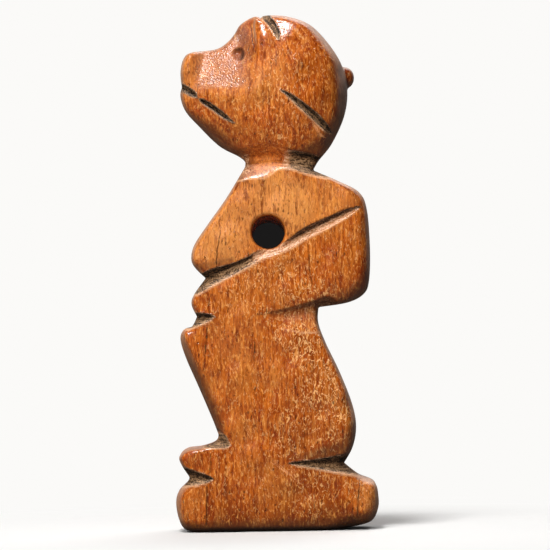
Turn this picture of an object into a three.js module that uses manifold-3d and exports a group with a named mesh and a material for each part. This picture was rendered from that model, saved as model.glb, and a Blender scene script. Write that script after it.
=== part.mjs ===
// Monkey amulet: a small squatting monkey on its plinth, cut as one piece from a flat bar of bone.
// Millimetres, +Z up. The monkey faces -X, its two broad faces look along -Y and +Y, and the
// origin is the middle of the box's underside. The whole amulet is one solid.

import * as THREE from "three";
import * as BufferGeometryUtils from "three/addons/utils/BufferGeometryUtils.js";
import Module from "manifold-3d";

const wasm = await Module();
wasm.setup();

// Driving dimensions

const PLATE = { half: 4.5, inset: 0.55, drop: 1.2 }; // body and plinth: half the bar's thickness,
// and how far its worn edges round in from the outline and down from the broad face
const RIM = { half: 3.6, inset: 0.55, drop: 1.5 }; // the head's edge and the tip of the muzzle
const DOME = { x: -0.4, z: 42.4, halfLength: 8.6, half: 5.3, halfHeight: 7.9 }; // the cheek and skull
const DOME_FULLNESS = 2.5; // 2 is an ellipsoid, and more is a fuller pebble
const BRIDGE = { x: -6.3, z: 50.2, radius: 3.9 }; // the scoop between brow and muzzle
const NECK_LINE_HALF = 4.4; // where the neck cut's middle line runs, just under the broad faces

const HOLE = { radius: 1.6, near: [-0.45, 29.0], far: [-0.4, 28.3] }; // for the string
const HOLE_LIP = { wider: 0.2, deep: 0.5 }; // the string has worn its mouths

const HOLE_SIDES = 28;
const CUT_STEPS = 2; // rings from one point of a file cut to the next

const KNOB = { x: 7.3, y: 0.4, z: 43.9, out: 0.85, across: 1.1, up: 1.1 };
const EYE = { x: -3.1, z: 46.1, radius: 0.75 };
const SHIN_BEVEL = { top: [-9.6, 19.9], foot: [-5.62, 9.3], inset: 1.4, drop: 2.0 };

// The outline in the X-Z plane, as curves through these points, clockwise from the throat.
// Each stretch starts where the one before it ends, and two stretches meet in a file cut's corner.

const THROAT = [-2.6, 35.3];
const NAPE = [4.0, 34.9];
const CHEST = [[-4.4, 32.4], [-6.3, 29.8], [-7.6, 27.9], [-7.95, 26.6], [-7.65, 25.7], [-6.6, 24.6]];
const HAND = [[-7.7, 23.1], [-8.0, 22.1], [-7.5, 20.9]];
const SHIN = [
  [-8.0, 19.95], [-8.8, 19.65], [-9.15, 18.7], [-8.7, 16.9], [-7.6, 13.9], [-6.3, 10.9], [-5.6, 9.4],
];
const FOOT = [[-5.9, 8.7], [-7.2, 8.2], [-8.7, 8.0], [-9.45, 7.3], [-9.1, 6.3], [-8.5, 5.3]];
const PLINTH_FRONT = [[-8.75, 4.75], [-9.6, 3.9], [-9.85, 2.8], [-9.6, 1.3], [-9.1, 0.35], [-8.2, 0]];
const UNDERSIDE = [[4.6, 0]];
const PLINTH_BACK = [[7.4, 0.3], [9.1, 0.8], [9.75, 2.0], [9.8, 3.2], [9.45, 4.5], [7.9, 5.25], [6.5, 6.4]];
const HAUNCH = [[7.4, 8.1], [7.75, 10.0], [7.4, 12.2], [6.2, 15.4], [5.0, 18.0], [4.25, 20.1], [4.3, 21.6]];
const BACK = [
  [7.1, 22.0], [8.7, 22.8], [9.25, 24.1], [9.4, 27.3], [9.15, 31.0], [8.4, 32.7], [6.4, 33.8], NAPE,
];
const SKULL = [
  [4.6, 35.9], [5.9, 37.5], [7.1, 40.0], [7.5, 42.4], [7.1, 44.8], [5.8, 47.1], [4.0, 49.0], [1.9, 49.85],
  [0.2, 50.0], [-0.8, 49.7],
];
const FACE = [
  [-1.35, 49.9], [-2.1, 49.65], [-2.9, 49.1], [-3.4, 48.3], [-4.1, 47.5], [-5.2, 46.85], [-7.5, 46.55],
  [-8.35, 46.0], [-8.7, 44.7], [-8.6, 43.2],
];
const JAW = [[-8.75, 42.3], [-8.3, 40.9], [-7.0, 39.4], [-5.1, 37.5], [-3.3, 36.5], [-2.6, 35.9], THROAT];

const BODY_STRETCHES = [CHEST, HAND, SHIN, FOOT, PLINTH_FRONT, UNDERSIDE, PLINTH_BACK, HAUNCH, BACK];
const HEAD_STRETCHES = [SKULL, FACE, JAW];

// The neck's top end, which goes up inside the head
const NECK = [[4.2, 35.7], [3.4, 36.8], [-1.4, 36.8], [-2.3, 36.2], [-2.35, 35.8], THROAT];

// The file cuts, on both broad faces, as [x, z, radius] along each, at the surface

const ARM_CUT = [
  [-7.6, 24.1, 0.85], [-5.4, 25.2, 0.65], [-3.3, 26.1, 0.5], [-1.5, 26.8, 0.25], [1.5, 28.0, 0.25],
  [2.7, 28.8, 0.5], [4.6, 29.75, 0.55], [6.6, 30.6, 0.45], [8.5, 31.3, 0.05],
];
const HAND_CUT = [[-5.8, 20.95, 0.05], [-6.8, 20.95, 0.45], [-8.4, 20.8, 0.75]];
const ELBOW_CUT = [[-1.4, 21.0, 0.05], [1.5, 21.2, 0.45], [5.0, 21.5, 0.8]];
const TOE_CUT = [[-6.1, 5.3, 0.05], [-7.3, 5.3, 0.5], [-9.4, 5.3, 0.95]];
const HAUNCH_CUT = [[1.1, 6.5, 0.05], [4.0, 6.5, 0.5], [7.4, 6.4, 0.95]];
const NECK_CUT = [[-4.0, 35.1, 1.0], [-0.5, 35.9, 0.9], [2.0, 36.0, 0.9], [5.2, 35.3, 1.0]];
const LIPS_CUT = [[-9.2, 43.55, 0.6], [-7.1, 42.1, 0.35]];
const MOUTH_CUT = [[-6.9, 42.0, 0.15], [-5.6, 41.2, 0.38], [-3.7, 39.6, 0.05]];
const EAR_CUT = [[1.3, 42.5, 0.05], [2.9, 41.3, 0.4], [4.3, 40.05, 0.6], [6.0, 38.4, 0.1]];
const BROW_CUT = [[-1.2, 50.4, 0.5], [0.1, 49.4, 0.5], [0.65, 48.7, 0.5], [0.95, 47.2, 0.05]];
const BODY_CUTS = [ARM_CUT, HAND_CUT, ELBOW_CUT, TOE_CUT, HAUNCH_CUT];
const HEAD_CUTS = [LIPS_CUT, MOUTH_CUT, EAR_CUT, BROW_CUT];

// Turning three.js geometry into solids, and back

function solid(geometry) {
  geometry.deleteAttribute("normal");
  geometry.deleteAttribute("uv");
  const merged = BufferGeometryUtils.mergeVertices(geometry, 1e-4);
  const vertProperties = Float32Array.from(merged.getAttribute("position").array);
  const triVerts = Uint32Array.from(merged.getIndex().array);
  return new wasm.Manifold(new wasm.Mesh({ numProp: 3, vertProperties, triVerts }));
}

function geometryOf(manifold) {
  const { vertProperties, triVerts } = manifold.getMesh();
  const geometry = new THREE.BufferGeometry();
  geometry.setAttribute("position", new THREE.BufferAttribute(vertProperties, 3));
  geometry.setIndex(new THREE.BufferAttribute(triVerts, 1));
  const flat = geometry.toNonIndexed();
  flat.computeVertexNormals();
  return flat;
}

// A plate of the given outline, its broad faces square to Y, with rounded edges
function plate(start, stretches, { half, inset, drop }) {
  const shape = new THREE.Shape();
  shape.moveTo(start[0], start[1]);
  for (const stretch of stretches) {
    const points = stretch.map(([x, z]) => new THREE.Vector2(x, z));
    if (points.length === 1) shape.lineTo(points[0].x, points[0].y);
    else shape.splineThru(points);
  }
  const geometry = new THREE.ExtrudeGeometry(shape, {
    depth: 2 * (half - drop),
    bevelThickness: drop,
    bevelSize: inset,
    bevelOffset: -inset,
    bevelSegments: 3,
    curveSegments: 2,
  });
  geometry.rotateX(Math.PI / 2);
  geometry.translate(0, half - drop, 0);
  return solid(geometry);
}

// How far the dome stands from the middle plane, at a distance from its axis in whole radii
function domeHalf(distance) {
  const left = Math.max(0, 1 - distance ** DOME_FULLNESS);
  return DOME.half * left ** (1 / DOME_FULLNESS);
}

// The dome of each cheek, on a straight-sided drum that keeps inside the rim
function dome() {
  const steps = 7;
  const drum = (1 - (RIM.half / DOME.half) ** DOME_FULLNESS) ** (1 / DOME_FULLNESS);
  const cheek = [];
  for (let i = 0; i <= steps; i += 1) {
    const out = drum * Math.cos((i / steps) * (Math.PI / 2));
    cheek.push(new THREE.Vector2(i < steps ? out : 0, domeHalf(out)));
  }
  const otherCheek = cheek.map((point) => new THREE.Vector2(point.x, -point.y)).reverse();
  const geometry = new THREE.LatheGeometry(otherCheek.concat(cheek), 28);
  geometry.scale(DOME.halfLength, 1, DOME.halfHeight);
  geometry.translate(DOME.x, 0, DOME.z);
  return solid(geometry);
}

// A straight round bar between two points, with a radius for each end
function bar(from, to, fromRadius, toRadius, sides) {
  const along = new THREE.Vector3().subVectors(to, from);
  const geometry = new THREE.CylinderGeometry(toRadius, fromRadius, along.length(), sides);
  const up = new THREE.Vector3(0, 1, 0);
  geometry.applyQuaternion(new THREE.Quaternion().setFromUnitVectors(up, along.clone().normalize()));
  const middle = from.clone().addScaledVector(along, 0.5);
  geometry.translate(middle.x, middle.y, middle.z);
  return solid(geometry);
}

function ball(place, radii, sides) {
  const geometry = new THREE.SphereGeometry(1, sides, sides - 2);
  geometry.scale(radii.x, radii.y, radii.z);
  geometry.translate(place.x, place.y, place.z);
  return solid(geometry);
}

// A file cut along one broad face: a slim spindle with a V below, turned and then bent along the cut
function fileCut(side, surfaceHalf, stations) {
  const middle = stations.map(([x, z]) => new THREE.Vector3(x, side * surfaceHalf(x, z), z));
  const route = new THREE.CatmullRomCurve3(middle);
  const last = CUT_STEPS * (stations.length - 1);
  const profile = [new THREE.Vector2(0, 0)];
  for (let step = 0; step <= last; step += 1) {
    const station = Math.min(Math.floor(step / CUT_STEPS), stations.length - 2);
    const part = step / CUT_STEPS - station;
    const radius = THREE.MathUtils.lerp(stations[station][2], stations[station + 1][2], part);
    profile.push(new THREE.Vector2(radius, step));
  }
  profile.push(new THREE.Vector2(0, last));
  const spindle = new THREE.LatheGeometry(profile, 4);
  const position = spindle.getAttribute("position");
  const out = new THREE.Vector3(0, side, 0);
  for (let i = 0; i < position.count; i += 1) {
    const along = position.getY(i) / last;
    const tangent = route.getTangent(along);
    const across = new THREE.Vector3().crossVectors(out, tangent).normalize();
    const place = route.getPoint(along).addScaledVector(across, position.getX(i));
    place.addScaledVector(across.cross(tangent), position.getZ(i));
    position.setXYZ(i, place.x, place.y, place.z);
  }
  return solid(spindle);
}

function headHalf(x, z) {
  const distance = Math.hypot((x - DOME.x) / DOME.halfLength, (z - DOME.z) / DOME.halfHeight);
  return Math.max(domeHalf(distance), RIM.half);
}

// The long front edge of the shin, pared off flat on one broad face
function shinBevel(side) {
  const { top, foot, inset, drop } = SHIN_BEVEL;
  const blade = 3;
  const down = new THREE.Vector3(foot[0] - top[0], 0, foot[1] - top[1]);
  const length = down.length();
  down.normalize();
  const pared = new THREE.Vector3(down.z * drop, side * inset, -down.x * drop).normalize();
  const across = new THREE.Vector3().crossVectors(down, pared);
  const cutter = new THREE.BoxGeometry(length, blade, 3 * blade);
  cutter.applyMatrix4(new THREE.Matrix4().makeBasis(down, pared, across));
  const middle = new THREE.Vector3(top[0] + foot[0], 2 * side * (PLATE.half - drop), top[1] + foot[1]);
  middle.divideScalar(2).addScaledVector(pared, blade / 2);
  cutter.translate(middle.x, middle.y, middle.z);
  return solid(cutter);
}

// The string hole, with its worn mouths
function stringHole() {
  const near = new THREE.Vector3(HOLE.near[0], -PLATE.half, HOLE.near[1]);
  const far = new THREE.Vector3(HOLE.far[0], PLATE.half, HOLE.far[1]);
  const along = new THREE.Vector3().subVectors(far, near).normalize();
  const beyond = 1;
  const start = near.clone().addScaledVector(along, -beyond);
  const end = far.clone().addScaledVector(along, beyond);
  const wide = HOLE.radius + (HOLE_LIP.wider * (beyond + HOLE_LIP.deep)) / HOLE_LIP.deep;
  const nearMouth = bar(start, near.addScaledVector(along, HOLE_LIP.deep), wide, HOLE.radius, HOLE_SIDES);
  const farMouth = bar(end, far.addScaledVector(along, -HOLE_LIP.deep), wide, HOLE.radius, HOLE_SIDES);
  return bar(start, end, HOLE.radius, HOLE.radius, HOLE_SIDES).add(nearMouth).add(farMouth);
}

// The dome, scooped out below the brow so that the bridge of the nose keeps the rim's outline
function cheeks() {
  const near = new THREE.Vector3(BRIDGE.x, -2 * DOME.half, BRIDGE.z);
  const far = new THREE.Vector3(BRIDGE.x, 2 * DOME.half, BRIDGE.z);
  return dome().subtract(bar(near, far, BRIDGE.radius, BRIDGE.radius, HOLE_SIDES));
}

function knob() {
  const place = new THREE.Vector3(KNOB.x, KNOB.y, KNOB.z);
  return ball(place, new THREE.Vector3(KNOB.out, KNOB.across, KNOB.up), 12);
}

function eye(side) {
  const place = new THREE.Vector3(EYE.x, side * headHalf(EYE.x, EYE.z), EYE.z);
  return ball(place, new THREE.Vector3(EYE.radius, EYE.radius, EYE.radius), 10);
}

// The blank: the body with its neck, the head's rim and cheeks, and the knob behind the head

const body = plate(THROAT, BODY_STRETCHES.concat([NECK]), PLATE);
const rim = plate(NAPE, HEAD_STRETCHES, RIM);
const blank = body.add(rim).add(cheeks()).add(knob());

// What the carver takes away: the same cuts on both broad faces, and the string hole through

const cutters = [stringHole()];
for (const side of [-1, 1]) {
  for (const cut of BODY_CUTS) cutters.push(fileCut(side, () => PLATE.half, cut));
  for (const cut of HEAD_CUTS) cutters.push(fileCut(side, headHalf, cut));
  cutters.push(fileCut(side, () => NECK_LINE_HALF, NECK_CUT));
  cutters.push(eye(side));
  cutters.push(shinBevel(side));
}
const amulet = blank.subtract(cutters.reduce((sum, cut) => sum.add(cut)));

const bone = new THREE.MeshStandardMaterial({ color: "#b5652b", roughness: 0.35, metalness: 0 });
const mesh = new THREE.Mesh(geometryOf(amulet), bone);
mesh.name = "monkey_amulet";
const group = new THREE.Group();
group.add(mesh);

export default group;
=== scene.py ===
import bpy
import numpy as np
from math import radians
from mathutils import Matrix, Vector


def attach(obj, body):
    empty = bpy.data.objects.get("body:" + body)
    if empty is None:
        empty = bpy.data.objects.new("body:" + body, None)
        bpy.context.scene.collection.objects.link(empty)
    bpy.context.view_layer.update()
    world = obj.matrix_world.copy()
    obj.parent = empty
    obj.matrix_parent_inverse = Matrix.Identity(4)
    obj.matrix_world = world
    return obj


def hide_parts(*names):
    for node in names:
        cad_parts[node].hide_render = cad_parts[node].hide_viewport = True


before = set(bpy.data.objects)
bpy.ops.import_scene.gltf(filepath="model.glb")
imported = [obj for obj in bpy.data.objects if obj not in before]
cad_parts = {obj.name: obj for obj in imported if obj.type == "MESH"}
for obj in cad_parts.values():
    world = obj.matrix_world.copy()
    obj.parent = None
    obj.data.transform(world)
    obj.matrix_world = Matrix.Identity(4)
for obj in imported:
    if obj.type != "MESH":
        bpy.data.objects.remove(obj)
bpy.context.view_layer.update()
scene = bpy.context.scene


# The amulet: a squatting monkey on its plinth, all one piece of bone cut from a flat bar.
# The outline was sawn, the face, arms, feet and neck were filed, the string hole was drilled on a
# slant, and long handling rounded every edge and packed dirt into the cuts. Sizes in millimetres.

MM = 0.001

# The outline as curves through these places, [x, z], clockwise from the throat
THROAT = [-2.6, 35.3]
NAPE = [4.0, 34.9]
CHEST = [[-4.4, 32.4], [-6.3, 29.8], [-7.6, 27.9], [-7.95, 26.6], [-7.65, 25.7], [-6.6, 24.6]]
HAND = [[-7.7, 23.1], [-8.0, 22.1], [-7.5, 20.9]]
SHIN = [
    [-8.0, 19.95], [-8.8, 19.65], [-9.15, 18.7], [-8.62, 16.8], [-7.38, 13.9], [-6.15, 10.9], [-5.6, 9.4],
]
FOOT = [[-5.9, 8.7], [-7.2, 8.2], [-8.7, 8.0], [-9.45, 7.3], [-9.1, 6.3], [-8.5, 5.3]]
PLINTH_FRONT = [[-8.75, 4.75], [-9.6, 3.9], [-9.85, 2.8], [-9.6, 1.3], [-9.1, 0.35], [-8.2, 0.0]]
UNDERSIDE = [[-2.0, 0.0], [4.6, 0.0]]
PLINTH_BACK = [[7.4, 0.3], [9.1, 0.8], [9.75, 2.0], [9.8, 3.2], [9.45, 4.5], [7.9, 5.25], [6.5, 6.4]]
HAUNCH = [[7.4, 8.1], [7.75, 10.0], [7.4, 12.2], [6.2, 15.4], [5.0, 18.0], [4.25, 20.1], [4.3, 21.6]]
BACK = [
    [7.1, 22.0], [8.7, 22.8], [9.25, 24.1], [9.4, 27.3], [9.15, 31.0], [8.4, 32.7], [6.4, 33.8], NAPE,
]
SKULL = [
    [4.6, 35.9], [5.9, 37.5], [7.1, 40.0], [7.5, 42.4], [7.1, 44.8], [5.8, 47.1], [4.0, 49.0],
    [1.9, 49.85], [0.2, 50.0], [-0.55, 49.95], [-0.8, 49.7],
]
FACE = [
    [-1.35, 49.9], [-2.1, 49.65], [-2.9, 49.1], [-3.4, 48.3], [-4.1, 47.5], [-5.2, 46.85],
    [-7.5, 46.55], [-8.35, 46.0], [-8.7, 44.7], [-8.6, 43.2],
]
JAW = [[-8.75, 42.3], [-8.3, 40.9], [-7.0, 39.4], [-5.1, 37.5], [-3.3, 36.5], [-2.6, 35.9], THROAT]
STRETCHES = [
    CHEST, HAND, SHIN, FOOT, PLINTH_FRONT, UNDERSIDE, PLINTH_BACK, HAUNCH, BACK, SKULL, FACE, JAW,
]

# Half the bar's thickness, and the swell of each cheek
BAR_HALF = 4.5
RIM_HALF = 3.4
DOME = {"x": 1.8, "z": 42.4, "front": 10.9, "back": 6.6, "half": 5.3, "up": 8.4, "fullness": 2.25}
NECK_Z = 35.7

# How far wear has rounded the edge at places along it: [x, z, in from the outline, down from the face]
EDGE_WEAR = [
    [-6.3, 38.9, 1.1, 1.8], [-8.7, 41.6, 0.85, 1.6], [-8.7, 44.7, 0.8, 1.5], [-6.0, 46.8, 0.4, 0.8],
    [-3.6, 48.2, 0.4, 0.8], [-1.6, 49.9, 0.5, 0.9], [2.5, 49.9, 0.7, 1.6], [5.9, 47.1, 1.1, 2.2],
    [7.5, 42.6, 1.7, 2.8], [6.3, 38.4, 1.3, 2.2], [4.5, 35.6, 0.6, 1.1], [6.6, 33.7, 0.55, 1.1],
    [8.9, 32.0, 1.1, 1.6], [9.4, 28.0, 1.3, 2.1], [9.1, 23.4, 1.4, 1.9], [6.3, 21.8, 0.7, 1.4],
    [4.4, 20.3, 0.5, 1.1], [6.2, 15.4, 0.55, 1.3], [7.7, 10.8, 1.1, 2.0], [6.8, 7.2, 0.8, 1.3],
    [9.6, 4.0, 1.2, 1.9], [9.6, 1.8, 1.6, 2.3], [3.0, 0.0, 0.6, 1.4], [-5.0, 0.0, 0.6, 1.5],
    [-9.7, 2.4, 1.35, 2.3], [-9.2, 6.9, 0.6, 1.2], [-7.4, 8.2, 0.35, 0.8], [-6.4, 11.2, 0.35, 0.8],
    [-9.1, 18.6, 0.7, 1.5], [-7.7, 22.0, 0.55, 1.1], [-7.9, 26.6, 0.75, 1.4], [-5.4, 31.0, 0.6, 1.3],
    [-2.9, 35.3, 0.5, 0.9],
]

# The file cuts, as [x, z, width of the wall above, width of the wall below, depth, dirt, how far down black reaches]
# at places along each; black from -1 at the upper edge to 1 at the lower one. The black is dirt, and on the
# downward-facing upper walls it is also painted shade.
ARM_CUT = [
    [-7.6, 23.9, 0.85, 0.95, 1.15, 1.0, 0.0], [-6.55, 24.45, 0.8, 0.9, 0.95, 1.0, 0.0],
    [-5.4, 25.0, 0.7, 0.85, 0.78, 1.0, 0.0], [-3.8, 25.7, 0.38, 0.78, 0.58, 0.9, 0.0],
    [-2.3, 26.35, 0.34, 0.7, 0.46, 0.75, -0.1], [-1.3, 26.8, 0.5, 0.55, 0.36, 0.5, -1.3],
    [0.1, 27.15, 0.6, 0.45, 0.3, 0.5, -1.3], [1.2, 27.6, 0.5, 0.5, 0.34, 0.5, -1.2],
    [1.85, 28.05, 0.36, 0.6, 0.42, 0.5, -0.3], [2.85, 28.7, 0.46, 0.62, 0.6, 0.5, 0.05],
    [4.3, 29.4, 0.5, 0.64, 0.66, 0.52, 0.05], [5.8, 30.08, 0.44, 0.55, 0.6, 0.5, 0.05],
    [7.1, 30.7, 0.36, 0.45, 0.46, 0.5, 0.1], [8.5, 31.25, 0.12, 0.15, 0.08, 0.5, 0.1],
]
HAND_CUT = [
    [-5.7, 20.9, 0.05, 0.1, 0.03, 0.6, 0.0], [-6.2, 20.85, 0.3, 0.35, 0.35, 1.0, 0.1],
    [-6.9, 20.78, 0.5, 0.62, 0.75, 1.0, 0.05], [-8.4, 20.6, 0.75, 0.95, 1.3, 1.0, 0.0],
]
# Under the forearm the black is a painted shadow below its lower edge
ELBOW_CUT = [
    [-1.9, 20.9, 0.1, 0.6, 0.03, 0.1, -0.4], [0.4, 21.05, 0.4, 1.4, 0.16, 0.2, -0.4],
    [2.6, 21.35, 0.6, 2.2, 0.36, 0.25, -0.3], [5.2, 21.8, 0.9, 2.4, 0.7, 0.3, -0.3],
]
TOE_CUT = [
    [-6.1, 5.2, 0.05, 0.08, 0.03, 0.6, 0.2], [-6.6, 5.25, 0.3, 0.4, 0.3, 1.0, 0.15],
    [-7.5, 5.38, 0.5, 0.78, 0.75, 1.0, 0.0], [-8.8, 5.45, 0.95, 1.0, 1.35, 1.0, -0.1],
    [-9.8, 5.5, 1.3, 1.3, 1.7, 1.0, -0.1],
]
ANKLE_CUT = [
    [-4.4, 8.4, 0.1, 0.1, 0.02, 0.5, -1.0], [-4.9, 8.42, 0.9, 0.25, 0.42, 1.0, -0.8],
    [-5.6, 8.5, 1.5, 0.35, 0.85, 1.0, -0.8], [-6.8, 8.6, 1.9, 0.45, 1.3, 1.0, -0.8],
]
HAUNCH_CUT = [
    [1.1, 6.55, 0.05, 0.05, 0.02, 0.6, 0.2], [1.8, 6.55, 0.22, 0.2, 0.25, 0.9, 0.1],
    [3.1, 6.5, 0.4, 0.38, 0.42, 1.0, 0.0], [4.7, 6.4, 0.75, 0.62, 0.72, 1.0, -0.1],
    [6.1, 6.3, 1.1, 0.8, 1.1, 0.9, -0.15], [7.8, 6.2, 1.4, 1.0, 1.5, 0.85, -0.2],
]
NECK_CUT = [
    [-4.2, 35.2, 1.6, 1.4, 1.9, 0.6, -1.3], [-2.4, 35.6, 1.6, 1.5, 1.2, 0.35, -1.3],
    [-1.5, 35.75, 1.6, 1.6, 0.8, 0.1, -1.3], [-0.6, 35.85, 1.7, 1.6, 0.55, 0.0, -1.3],
    [0.5, 35.9, 1.6, 1.0, 0.5, 0.0, -1.3], [1.4, 35.8, 1.3, 0.8, 0.6, 0.5, -0.9],
    [2.4, 35.7, 1.15, 0.9, 0.9, 1.0, -0.5], [3.6, 35.45, 1.1, 1.05, 1.35, 1.0, -0.5],
    [5.2, 35.1, 1.1, 1.1, 1.8, 1.0, -0.6],
]
LIPS_CUT = [
    [-9.3, 43.5, 0.4, 0.42, 0.6, 1.0, 1.1], [-8.6, 43.15, 0.38, 0.4, 0.55, 1.0, 1.1],
    [-7.9, 42.75, 0.36, 0.38, 0.45, 1.0, 1.1], [-7.35, 42.37, 0.3, 0.3, 0.3, 1.0, 1.1],
    [-7.12, 42.2, 0.08, 0.08, 0.03, 1.0, 1.1],
]
MOUTH_CUT = [
    [-6.85, 41.98, 0.05, 0.1, 0.05, 1.0, 1.1], [-6.5, 41.75, 0.2, 0.26, 0.35, 1.0, 1.1],
    [-5.4, 41.0, 0.24, 0.3, 0.45, 1.0, 1.0], [-4.4, 40.2, 0.2, 0.27, 0.35, 1.0, 0.9],
    [-3.6, 39.55, 0.08, 0.1, 0.03, 0.8, 0.8],
]
EAR_CUT = [
    [1.0, 42.65, 0.1, 0.14, 0.03, 0.7, 0.4], [1.9, 42.05, 0.22, 0.27, 0.3, 1.0, 0.3],
    [2.86, 41.25, 0.34, 0.38, 0.46, 1.0, 0.1], [4.3, 40.0, 0.42, 0.44, 0.52, 1.0, 0.1],
    [5.3, 38.95, 0.34, 0.36, 0.42, 1.0, 0.2], [5.8, 38.4, 0.1, 0.1, 0.05, 0.9, 0.3],
]
BROW_CUT = [
    [-0.9, 50.6, 0.42, 0.42, 0.65, 1.0, -0.5], [-0.35, 49.85, 0.42, 0.42, 0.55, 1.0, -0.5],
    [0.17, 49.2, 0.4, 0.4, 0.46, 1.0, -0.5], [0.55, 48.6, 0.38, 0.38, 0.42, 1.0, -0.4],
    [0.77, 48.0, 0.3, 0.3, 0.28, 1.0, -0.3], [0.8, 47.45, 0.08, 0.08, 0.03, 0.8, -0.3],
]
BROW_STEP = [
    [-1.3, 50.3, 0.2, 1.6, 0.35, 0.0, -1.3], [-1.58, 49.0, 0.22, 1.8, 0.35, 0.0, -1.3],
    [-1.52, 48.0, 0.22, 1.8, 0.3, 0.0, -1.3], [-1.35, 46.8, 0.25, 1.6, 0.15, 0.0, -1.3],
    [-1.15, 45.6, 0.2, 1.2, 0.02, 0.0, -1.3],
]
CUTS = [
    ARM_CUT, HAND_CUT, ELBOW_CUT, TOE_CUT, ANKLE_CUT, HAUNCH_CUT, NECK_CUT, LIPS_CUT, MOUTH_CUT, EAR_CUT,
    BROW_CUT, BROW_STEP,
]
FAR_SIDE_DEPTH = 0.85

# The front of the shin, pared flat on the near face from this line outwards
SHIN_FLAT = {"line": [[-7.6, 16.6], [-4.6, 8.9]], "drop": 1.5, "soft": 0.3}

# The side of the muzzle and of the brow, pared thinner towards the bridge of the nose
BRIDGE_FLAT = {"x": [-7.9, -6.3, -3.3, -1.0], "from_z": 42.5, "to_z": 46.8, "deep": 1.4}

# The brow ridge, as [x, z, half its width, how proud]
RIDGE = [
    [-1.05, 50.0, 0.8, 0.3], [-0.85, 49.2, 1.05, 0.42], [-0.6, 48.3, 1.15, 0.4], [-0.45, 47.1, 1.1, 0.22],
    [-0.38, 45.8, 0.8, 0.0],
]

# The string hole and the eye
HOLE = {"radius": 1.6, "near": [-0.45, 29.0], "far": [-0.4, 28.3]}
EYE = {"x": -2.9, "z": 46.3, "front": 0.9, "back": 0.5, "up": 0.65, "down": 0.8, "deep": 0.7}
KNOB = {"x": 7.3, "y": 0.3, "z": 43.9, "out": 0.88, "across": 1.0, "up": 1.05}

# The drawing sheet: the X-Z plane, marked out finely enough for every distance and depth below
SHEET_STEP = 0.06
SHEET_X = np.arange(-11.4, 11.4, SHEET_STEP)
SHEET_Z = np.arange(-1.6, 51.6, SHEET_STEP)
X, Z = np.meshgrid(SHEET_X, SHEET_Z, indexing="ij")


def curve_through(points, steps=8):
    """Places along a smooth curve through these points, each with whatever values they carry."""
    knots = np.array([points[0], *points, points[-1]], float)
    part = np.linspace(0, 1, steps, endpoint=False)[:, None]
    runs = []
    for a, b, c, d in zip(knots, knots[1:], knots[2:], knots[3:]):
        bend = (2 * a - 5 * b + 4 * c - d) * part**2 + (3 * b - a - 3 * c + d) * part**3
        runs.append(b + 0.5 * ((c - a) * part + bend))
    return np.vstack([*runs, knots[-1:]])


def trace(line, reach):
    """How far each place on the sheet is from a line, on which side, and its values at the nearest point."""
    away = np.full(X.shape, float(reach))
    side = np.zeros(X.shape)
    carried = np.zeros((*X.shape, line.shape[1] - 2))
    for start, end in zip(line[:-1], line[1:]):
        step = (end - start)[:2]
        length = np.hypot(*step)
        if length < 1e-6:
            continue
        low = np.minimum(start, end)[:2] - reach
        high = np.maximum(start, end)[:2] + reach
        columns = slice(*np.searchsorted(SHEET_X, (low[0], high[0])))
        rows = slice(*np.searchsorted(SHEET_Z, (low[1], high[1])))
        dx = X[columns, rows] - start[0]
        dz = Z[columns, rows] - start[1]
        part = np.clip((dx * step[0] + dz * step[1]) / length**2, 0, 1)
        far = np.hypot(dx - part * step[0], dz - part * step[1])
        nearer = far < away[columns, rows]
        away[columns, rows][nearer] = far[nearer]
        side[columns, rows][nearer] = np.sign(step[0] * dz - step[1] * dx)[nearer]
        values = start[2:] + part[..., None] * (end - start)[2:]
        carried[columns, rows][nearer] = values[nearer]
    return away, side, carried


def enclosed(line):
    """Which places on the sheet a closed line goes round."""
    within = np.zeros(X.shape, bool)
    for (x0, z0), (x1, z1) in zip(line, np.roll(line, -1, axis=0)):
        if z0 == z1:
            continue
        rows = slice(*np.searchsorted(SHEET_Z, sorted((z0, z1))))
        crossing = x0 + (x1 - x0) * (SHEET_Z[rows] - z0) / (z1 - z0)
        within[:, rows] ^= SHEET_X[:, None] > crossing
    return within


def near_places(places, reach):
    """The values of the nearest few places, blended over the sheet."""
    total = np.zeros(X.shape)
    blend = [np.zeros(X.shape) for _ in places[0][2:]]
    for x, z, *values in places:
        weight = 1 / ((X - x) ** 2 + (Z - z) ** 2 + reach**2) ** 2
        total += weight
        for k, value in enumerate(values):
            blend[k] += weight * value
    return [b / total for b in blend]


def smooth(low, high, value):
    """Rises softly from 0 at low to 1 at high."""
    part = np.clip((value - low) / (high - low), 0, 1)
    return part * part * (3 - 2 * part)


def soft_min(a, b, round_off):
    """The lower of two heights, with the corner between them rubbed round."""
    gap = np.clip(0.5 + 0.5 * (b - a) / round_off, 0, 1)
    return b + (a - b) * gap - round_off * gap * (1 - gap)


# The outline, and the depth from every place to it
outline = []
corner = THROAT
for stretch in STRETCHES:
    outline.append(curve_through([corner, *stretch])[:-1])
    corner = stretch[-1]
outline = np.vstack(outline)
EDGE_REACH = 3.2
edge_away = trace(np.vstack([outline, outline[:1]]), EDGE_REACH)[0]
edge = np.where(enclosed(outline), -edge_away, edge_away)
wear_in, wear_down = near_places(EDGE_WEAR, 0.6)

# The broad faces before the filing: the bar's, and the dome of each cheek
rng = np.random.default_rng(7)
HAND_WAVES = 14
HAND_WAVE_HEIGHT = 0.022


def hand_waves():
    """The slight swells that a hand-held blade leaves."""
    swell = np.zeros(X.shape)
    for _ in range(HAND_WAVES):
        length = rng.uniform(2.5, 8.0)
        angle = rng.uniform(0, np.pi)
        phase = rng.uniform(0, 2 * np.pi)
        along = X * np.cos(angle) + Z * np.sin(angle)
        swell += HAND_WAVE_HEIGHT * np.sin(2 * np.pi * along / length + phase)
    return swell


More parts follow.
